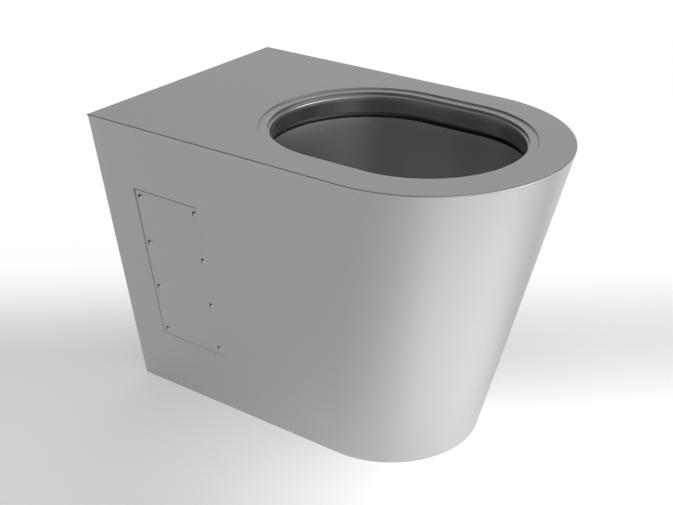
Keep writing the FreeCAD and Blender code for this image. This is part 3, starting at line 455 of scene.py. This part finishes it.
# EPDM rubber: moulded, near black, with a dull even sheen and a fine dusty grain.
rubber = bpy.data.materials.new("moulded_epdm_rubber")
rubber.use_nodes = True
rubber_tree = rubber.node_tree
rubber_shader = rubber_tree.nodes["Principled BSDF"]
rubber_shader.inputs["IOR"].default_value = 1.52
rubber_position = add(rubber_tree, "ShaderNodeTexCoord").outputs["Object"]
dust = add(rubber_tree, "ShaderNodeTexNoise", values={"Scale": 1 / (RUBBER_GRAIN * MM), "Detail": 4.0},
           links={"Vector": rubber_position}).outputs[0]
dusty = add(rubber_tree, "ShaderNodeMix", {"data_type": "RGBA"},
            {COLOUR_A: linear("#1C1C1D"), COLOUR_B: linear("#2B2B2C")}, {"Factor": dust})
rubber_tree.links.new(dusty.outputs[COLOUR_OUT], rubber_shader.inputs["Base Color"])
dull = add(rubber_tree, "ShaderNodeMapRange", values={"To Min": 0.5, "To Max": 0.72}, links={"Value": dust})
rubber_tree.links.new(dull.outputs[0], rubber_shader.inputs["Roughness"])
pimples = add(rubber_tree, "ShaderNodeBump", values={"Strength": 0.15, "Distance": SCRATCH_DEPTH * MM},
              links={"Height": dust})
rubber_tree.links.new(pimples.outputs[0], rubber_shader.inputs["Normal"])
rib_y = np.linspace(RIB_END, RIB_START, 61)
ribs = CUFF_BORE + RIB_DEPTH * (1 - np.cos(2 * np.pi * (rib_y - RIB_START) / RIB_PITCH)) / 2
cuff_profile = np.concatenate([
    [[CUFF - CUFF_EASE, CUFF_START], [CUFF, CUFF_START + CUFF_EASE]],
    [[CUFF, INLET_END], [COLLAR - COLLAR_ROUND, INLET_END]],
    arc(COLLAR - COLLAR_ROUND, INLET_END + COLLAR_ROUND, COLLAR_ROUND, -90, 0, 5),
    arc(COLLAR - COLLAR_ROUND, COLLAR_END - COLLAR_ROUND, COLLAR_ROUND, 0, 90, 5),
    [[CUFF_BORE + COLLAR_FLARE, COLLAR_END]],
    np.stack([ribs, rib_y], axis=-1),
    [[CUFF_BORE + CUFF_EASE, CUFF_START]],
])
cuff_radius, cuff_y = cuff_profile.T
cuff_path = np.stack([cuff_y, INLET_Z + 0 * cuff_y, 1 + 0 * cuff_y, 0 * cuff_y], axis=-1)
cuff = skin("inlet_cuff", tube_rows(cuff_path, cuff_radius), rubber, close_rows=True)
seat(cuff, "pan", "inlet_seal")

# Weld beads: the butt and fillet welds of the tubes, hand-laid with a filler rod, so they show fine overlapping
# ripples and a straw to blue tint from the heat.
BEAD_HALF, BEAD_RISE, BEAD_SINK = 2.4, 1.1, 0.15
RIPPLE, RIPPLE_SHARE, RIPPLE_SWAY = 2.2, 0.18, 0.3
WEAVE, WEAVES = 0.35, 3
FILLET_OFFSET = 1.8
# Heat-tinted weld metal: bright ripples over stainless that the heat has turned straw, brown and blue in
# patches.
weld = stainless("heat_tinted_weld", "#C9BFA6", "#8D8794", rough=0.30, rough_play=0.06,
                 grain=(3.0, 3.0, 3.0), blotch=9.0, scratch=0.1)


def bead_rows(centre, direction, radius):
    """A ring of weld on a tube: a low half ellipse carried round the tube, its height rippled by a cosine with
    a real pitch and its middle weaving a little from side to side."""
    section = np.linspace(0, np.pi, 11)[:, None]
    count = round(2 * math.pi * radius / RIPPLE)
    turn = np.linspace(0, 2 * np.pi, count * 4 + 1)[None, :-1]
    lift = radius - BEAD_SINK + BEAD_RISE * (1 + RIPPLE_SHARE * np.cos(count * turn)) * np.sin(section)
    drift = (BEAD_HALF * np.cos(section) + WEAVE * np.sin(WEAVES * turn)
             + RIPPLE_SWAY * np.sin(section) * np.cos(count * turn + 1))
    swing = lift * np.cos(turn)
    return np.stack([lift * np.sin(turn), centre[0] - direction[0] * drift - direction[1] * swing,
                     centre[1] - direction[1] * drift + direction[0] * swing], axis=-1)


for bead_name, bead_centre, bead_way, bead_radius in (
    ("weld_neck_to_trap", (SUMP_Y, NECK_FOOT), (0, -1), TRAP),
    ("weld_trap_to_elbow", (RISER_Y, ELBOW_Z), (0, 1), TRAP),
    ("weld_elbow_to_reducer", (ELBOW_END, OUTLET_Z), (1, 0), TRAP),
    ("weld_reducer_to_spigot", (REDUCER_END, OUTLET_Z), (1, 0), SPIGOT),
    ("weld_inlet_to_box", (INLET_START + FILLET_OFFSET, INLET_Z), (1, 0), INLET),
):
    bead = skin(bead_name, bead_rows(bead_centre, bead_way, bead_radius), weld, close_rows=True)
    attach(bead, "pan")

# Inner fabrications: the flush box and its flow divider, the deck stiffener, the base flange, the saddle under
# the outlet, the floor brackets, the earth tag and the panel frames with their clinch nuts, all of mill-finish
# stainless. The sheet pieces are cut, folded and welded in place, and the nuts are pressed into the frames.
for node in ("flush_box", "flow_divider", "deck_stiffener", "base_flange", "outlet_saddle",
             "floor_bracket_left", "floor_bracket_right", "earth_tag", "panel_frame_left",
             "panel_frame_right", "panel_nuts_left", "panel_nuts_right"):
    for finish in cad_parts[node].material_slots:
        finish.material = mill

# Access panels: one satin plate in each side, brushed like the shroud and set 0.5 mm below its face on average,
# deeper at its head than at its foot. It stands on the lower edge of its cut-out, so the gap above it is the
# widest. Its edges are eased and its corners rounded.
PANEL_HALF_WIDTH, PANEL_HALF_LENGTH = 53.0, 111.5
PANEL_CORNER, PANEL_EASE = 1.0, 0.2
PANEL_RECESS, PANEL_LEAN = 0.5, 0.35
SIDE_X = FOOT_HALF + SIDE_SLOPE * PANEL_Z
CORNER_POINTS = 9


def on_side(side, across, up, out):
    """Points in the sloping side's own frame: across along y, up the slope and out square to it, from the
    middle of the panel on the shroud's face."""
    x = side * (SIDE_X + up * math.sin(TILT) + out * math.cos(TILT))
    y = PANEL_Y + side * across
    z = PANEL_Z + up * math.cos(TILT) - out * math.sin(TILT)
    return np.stack(np.broadcast_arrays(x, y, z), axis=-1)


quarter = np.linspace(0, np.pi / 2, CORNER_POINTS)
corner = np.concatenate([quarter + start for start in np.arange(4) * np.pi / 2])
corner_across = (PANEL_HALF_WIDTH - PANEL_CORNER) * np.repeat([1, -1, -1, 1], CORNER_POINTS)
corner_up = (PANEL_HALF_LENGTH - PANEL_CORNER) * np.repeat([1, 1, -1, -1], CORNER_POINTS)
plate_inset, plate_level = np.concatenate([
    arc(PANEL_EASE, -PANEL_RECESS - SHEET + PANEL_EASE, PANEL_EASE, 270, 180, 5),
    arc(PANEL_EASE, -PANEL_RECESS - PANEL_EASE, PANEL_EASE, 180, 90, 5),
]).T[:, :, None]
plate_across = corner_across + (PANEL_CORNER - plate_inset) * np.cos(corner)
plate_up = corner_up + (PANEL_CORNER - plate_inset) * np.sin(corner)
on_face = plate_level > -PANEL_RECESS - SHEET / 2
plate_out = plate_level - PANEL_LEAN * on_face * plate_up / PANEL_HALF_LENGTH
for side_name, side in (("left", -1), ("right", 1)):
    plate_grid = on_side(side, plate_across, plate_up, plate_out)
    plate = skin(f"access_panel_plate_{side_name}", plate_grid, satin_round, caps=True)
    seat(plate, f"access_panel_{side_name}", f"access_panel_{side_name}")

# Panel screws: eight security screws to a panel, turned from A2 stainless, with a domed button head, a
# six-lobed socket and a centre pin that keeps ordinary drivers out. They screw into the clinch nuts of the
# panel frame.
SCREW_COLUMNS = np.array([-45.7, 45.7])
SCREW_ROWS = np.array([-102.3, -34.1, 34.1, 102.3])
HEAD, HEAD_TOP, HEAD_ROUND = 3.8, 1.7, 0.3
HEAD_SEAT = -PANEL_RECESS - PANEL_LEAN
SHANK, SHANK_TIP, TIP_CHAMFER = 2.0, -12.5, 0.5
SOCKET, SOCKET_RIM, SOCKET_SLOPE, SOCKET_FLOOR = 1.4, 0.2, 0.5, -0.2
LOBE, LOBES = 0.22, 6
PIN, PIN_TOP, PIN_EASE = 0.4, HEAD_TOP - 0.8, 0.1
# Bright turned A2 stainless: smoother than the sheet, with fine turning marks round the head.
turned = stainless("bright_turned_a2_stainless", "#CFCFCF", "#C0C0C0", rough=0.12, rough_play=0.03,
                   grain=(0.8, 0.8, 0.8), blotch=4.0, scratch=0.05)
lathe = np.linspace(0, 2 * np.pi, 49)[:-1]
dome_rise = HEAD_TOP + PANEL_RECESS
dome = (HEAD ** 2 + dome_rise ** 2) / (2 * dome_rise)
dome_start, dome_end = np.degrees(np.arccos(np.array([HEAD, SOCKET + SOCKET_RIM]) / dome))
screw_radius, screw_out = np.concatenate([
    [[SHANK - TIP_CHAMFER, SHANK_TIP], [SHANK, SHANK_TIP + TIP_CHAMFER], [SHANK, HEAD_SEAT]],
    [[HEAD - HEAD_ROUND, HEAD_SEAT]],
    arc(HEAD - HEAD_ROUND, HEAD_SEAT + HEAD_ROUND, HEAD_ROUND, -90, 0, 4),
    arc(0, HEAD_TOP - dome, dome, dome_start, dome_end, 12),
    [[SOCKET, HEAD_TOP - SOCKET_SLOPE], [SOCKET, SOCKET_FLOOR]],
    [[PIN + PIN_EASE, SOCKET_FLOOR], [PIN, SOCKET_FLOOR + PIN_EASE]],
    [[PIN, PIN_TOP - PIN_EASE], [PIN - PIN_EASE, PIN_TOP]],
]).T[:, :, None]
in_socket = np.isclose(screw_radius, SOCKET)
screw_radius = screw_radius - LOBE * in_socket * (1 - np.cos(LOBES * lathe)) / 2
spots = np.stack(np.meshgrid(SCREW_COLUMNS, SCREW_ROWS), axis=-1).reshape(-1, 2)[:, :, None, None]
screw_across = spots[:, 0] + screw_radius * np.cos(lathe)
screw_up = spots[:, 1] + screw_radius * np.sin(lathe)
for side_name, side in (("left", -1), ("right", 1)):
    screw_grids = on_side(side, screw_across, screw_up, screw_out)
    screws = skin(f"security_screws_{side_name}", screw_grids, turned, caps=True)
    seat(screws, f"panel_screws_{side_name}", f"panel_screws_{side_name}")

# Studio floor: a seamless sheet of matt white paper under the pan. It takes the pan's soft shadow. Its glow,
# for the camera and in the metal alike, is painted light: dimmer near the pan as painted shade, brightening to
# a plain white ground behind the pan, with painted pools of light before and round it. A pool is its middle in
# metres, its radius in mm and its level.
FLOOR_HALF, FLOOR_DROP = 6000.0, 0.3
# Painted shade: the glow is GLOW_NEAR on the near side of the pan and rises to GLOW_FAR behind it.
GROUND_WAY = (0.807, 0.59, 0.0)
GROUND_NEAR, GROUND_FAR = 100.0, 420.0
GLOW_NEAR, GLOW_FAR = 0.37, 0.74
POOLS = (
    ((-0.2, -0.47, 0.0), 550.0, 0.6),
    ((0.1, -0.52, 0.0), 550.0, 0.44),
    ((-0.1, -0.09, 0.0), 350.0, 0.17),
)
PAPER_ROUGHNESS, PAPER_GLOSS, PAPER_FIBRE = 0.9, 0.1, 2.0
floor_material = bpy.data.materials.new("matt_white_paper")
floor_material.use_nodes = True
floor_tree = floor_material.node_tree
floor_shader = floor_tree.nodes["Principled BSDF"]
floor_shader.inputs["Roughness"].default_value = PAPER_ROUGHNESS
floor_shader.inputs["Specular IOR Level"].default_value = PAPER_GLOSS
floor_position = add(floor_tree, "ShaderNodeTexCoord").outputs["Object"]
fibre = add(floor_tree, "ShaderNodeTexNoise", values={"Scale": 1 / (PAPER_FIBRE * MM), "Detail": 3.0},
            links={"Vector": floor_position})
paper = add(floor_tree, "ShaderNodeMix", {"data_type": "RGBA"},
            {COLOUR_A: linear("#EDEDED"), COLOUR_B: linear("#F0F0F0")}, {"Factor": fibre.outputs[0]})
floor_tree.links.new(paper.outputs[COLOUR_OUT], floor_shader.inputs["Base Color"])
# white is the level of the floor's painted glow, its painted pools of light included.
behind = add(floor_tree, "ShaderNodeVectorMath", {"operation": "DOT_PRODUCT"}, {1: GROUND_WAY},
             {0: floor_position})
white = add(floor_tree, "ShaderNodeMapRange", {"interpolation_type": "SMOOTHSTEP"},
            {"From Min": GROUND_NEAR * MM, "From Max": GROUND_FAR * MM,
             "To Min": GLOW_NEAR, "To Max": GLOW_FAR},
            {"Value": behind.outputs["Value"]})
# Each pool adds a painted pool of light to the floor's glow, fading out from its middle.
for pool_middle, pool_radius, pool_level in POOLS:
    away = add(floor_tree, "ShaderNodeVectorMath", {"operation": "DISTANCE"}, {1: pool_middle},
               {0: floor_position})
    pale = add(floor_tree, "ShaderNodeMapRange", {"interpolation_type": "SMOOTHSTEP"},
               {"From Min": 0.0, "From Max": pool_radius * MM, "To Min": pool_level, "To Max": 0.0},
               {"Value": away.outputs["Value"]})
    white = add(floor_tree, "ShaderNodeMath", {"operation": "ADD", "use_clamp": True},
                links={0: white.outputs[0], 1: pale.outputs[0]})
rays = add(floor_tree, "ShaderNodeLightPath").outputs
seen = add(floor_tree, "ShaderNodeMath", {"operation": "MAXIMUM"},
           links={0: rays["Is Camera Ray"], 1: rays["Is Glossy Ray"]})
seen = add(floor_tree, "ShaderNodeMath", {"operation": "MAXIMUM"},
           links={0: seen.outputs[0], 1: rays["Is Transmission Ray"]})
glow = add(floor_tree, "ShaderNodeMath", {"operation": "MULTIPLY"},
           links={0: seen.outputs[0], 1: white.outputs[0]})
floor_shader.inputs["Emission Color"].default_value = linear("#FFFFFF")
floor_tree.links.new(glow.outputs[0], floor_shader.inputs["Emission Strength"])
floor_x, floor_y = np.meshgrid([-FLOOR_HALF, FLOOR_HALF], [-FLOOR_HALF, FLOOR_HALF])
floor_grid = np.stack([floor_x, floor_y, 0 * floor_x - FLOOR_DROP], axis=-1)
floor = skin("studio_floor", floor_grid, floor_material, close_columns=False)

# Studio light: a dim room with two soft windows in front, their middles near the floor, a pale wall behind and
# a faint ceiling. Each is an azimuth and a height in degrees, the cosine of the angle from there at which it
# has faded out, and its level.
ROOM = 0.09
WALL = (121.0, 12.0, 0.55, 0.43)
WINDOW_RIGHT = (22.0, -6.0, 0.8, 4.1)
WINDOW_LEFT = (-20.0, -4.0, 0.72, 1.3)
CEILING = (0.0, 89.0, 0.6, 0.3)


def toward(azimuth, height):
    """The unit vector at an azimuth from the front, positive to the right, and a height above the floor, both
    in degrees."""
    a, h = math.radians(azimuth), math.radians(height)
    return np.array([math.sin(a) * math.cos(h), -math.cos(a) * math.cos(h), math.sin(h)])


room = bpy.data.worlds.new("grey_room")
room.use_nodes = True
bpy.context.scene.world = room
room_tree = room.node_tree
looking = add(room_tree, "ShaderNodeTexCoord").outputs["Generated"]
bright = add(room_tree, "ShaderNodeValue").outputs[0]
bright.default_value = ROOM
for azimuth, height, faded, level in (WALL, WINDOW_RIGHT, WINDOW_LEFT, CEILING):
    nearness = add(room_tree, "ShaderNodeVectorMath", {"operation": "DOT_PRODUCT"},
                   {1: toward(azimuth, height).tolist()}, {0: looking})
    patch = add(room_tree, "ShaderNodeMapRange", {"interpolation_type": "SMOOTHSTEP"},
                {"From Min": faded, "From Max": 1.0, "To Min": 0.0, "To Max": level},
                {"Value": nearness.outputs["Value"]})
    bright = add(room_tree, "ShaderNodeMath", {"operation": "ADD"},
                 links={0: bright, 1: patch.outputs[0]}).outputs[0]
background = room_tree.nodes["Background"]
background.inputs["Color"].default_value = linear("#FFFFFF")
room_tree.links.new(bright, background.inputs["Strength"])

# Camera: where the photograph was taken from, above the pan to its front left. Its place, roll, focal length
# and shift were fitted to the pan's edges; the focal length and the shift are in pixels of the photograph.
CAMERA_AZIMUTH, CAMERA_HEIGHT, CAMERA_DISTANCE, CAMERA_ROLL = -53.817, 26.694, 1.58, -0.324
CAMERA_TARGET = np.array([0, 0.005, 0.2])
FOCAL_PIXELS, WIDTH_PIXELS = 1223.1, 673
SHIFT_RIGHT, SHIFT_DOWN = 14.53, 12.39
SENSOR = 36.0


def camera_axes(back, roll):
    """The camera's right, up and back axes as columns: right is level, then right and up turn about back by
    roll in degrees."""
    right = np.cross((0, 0, 1), back)
    right = right / np.linalg.norm(right)
    up = np.cross(back, right)
    c, s = math.cos(math.radians(roll)), math.sin(math.radians(roll))
    return np.stack([right * c + up * s, up * c - right * s, back], axis=1)


camera = bpy.data.objects.new("camera", bpy.data.cameras.new("camera"))
camera.data.sensor_width = SENSOR
camera.data.lens = FOCAL_PIXELS / WIDTH_PIXELS * SENSOR
camera.data.shift_x = -SHIFT_RIGHT / WIDTH_PIXELS
camera.data.shift_y = SHIFT_DOWN / WIDTH_PIXELS
bpy.context.scene.collection.objects.link(camera)
camera_back = toward(CAMERA_AZIMUTH, CAMERA_HEIGHT)
stand = np.eye(4)
stand[:3, :3] = camera_axes(camera_back, CAMERA_ROLL)
stand[:3, 3] = CAMERA_TARGET + CAMERA_DISTANCE * camera_back
camera.matrix_world = Matrix(stand.tolist())
bpy.context.scene.camera = camera
bpy.context.scene.view_settings.view_transform = "Standard"
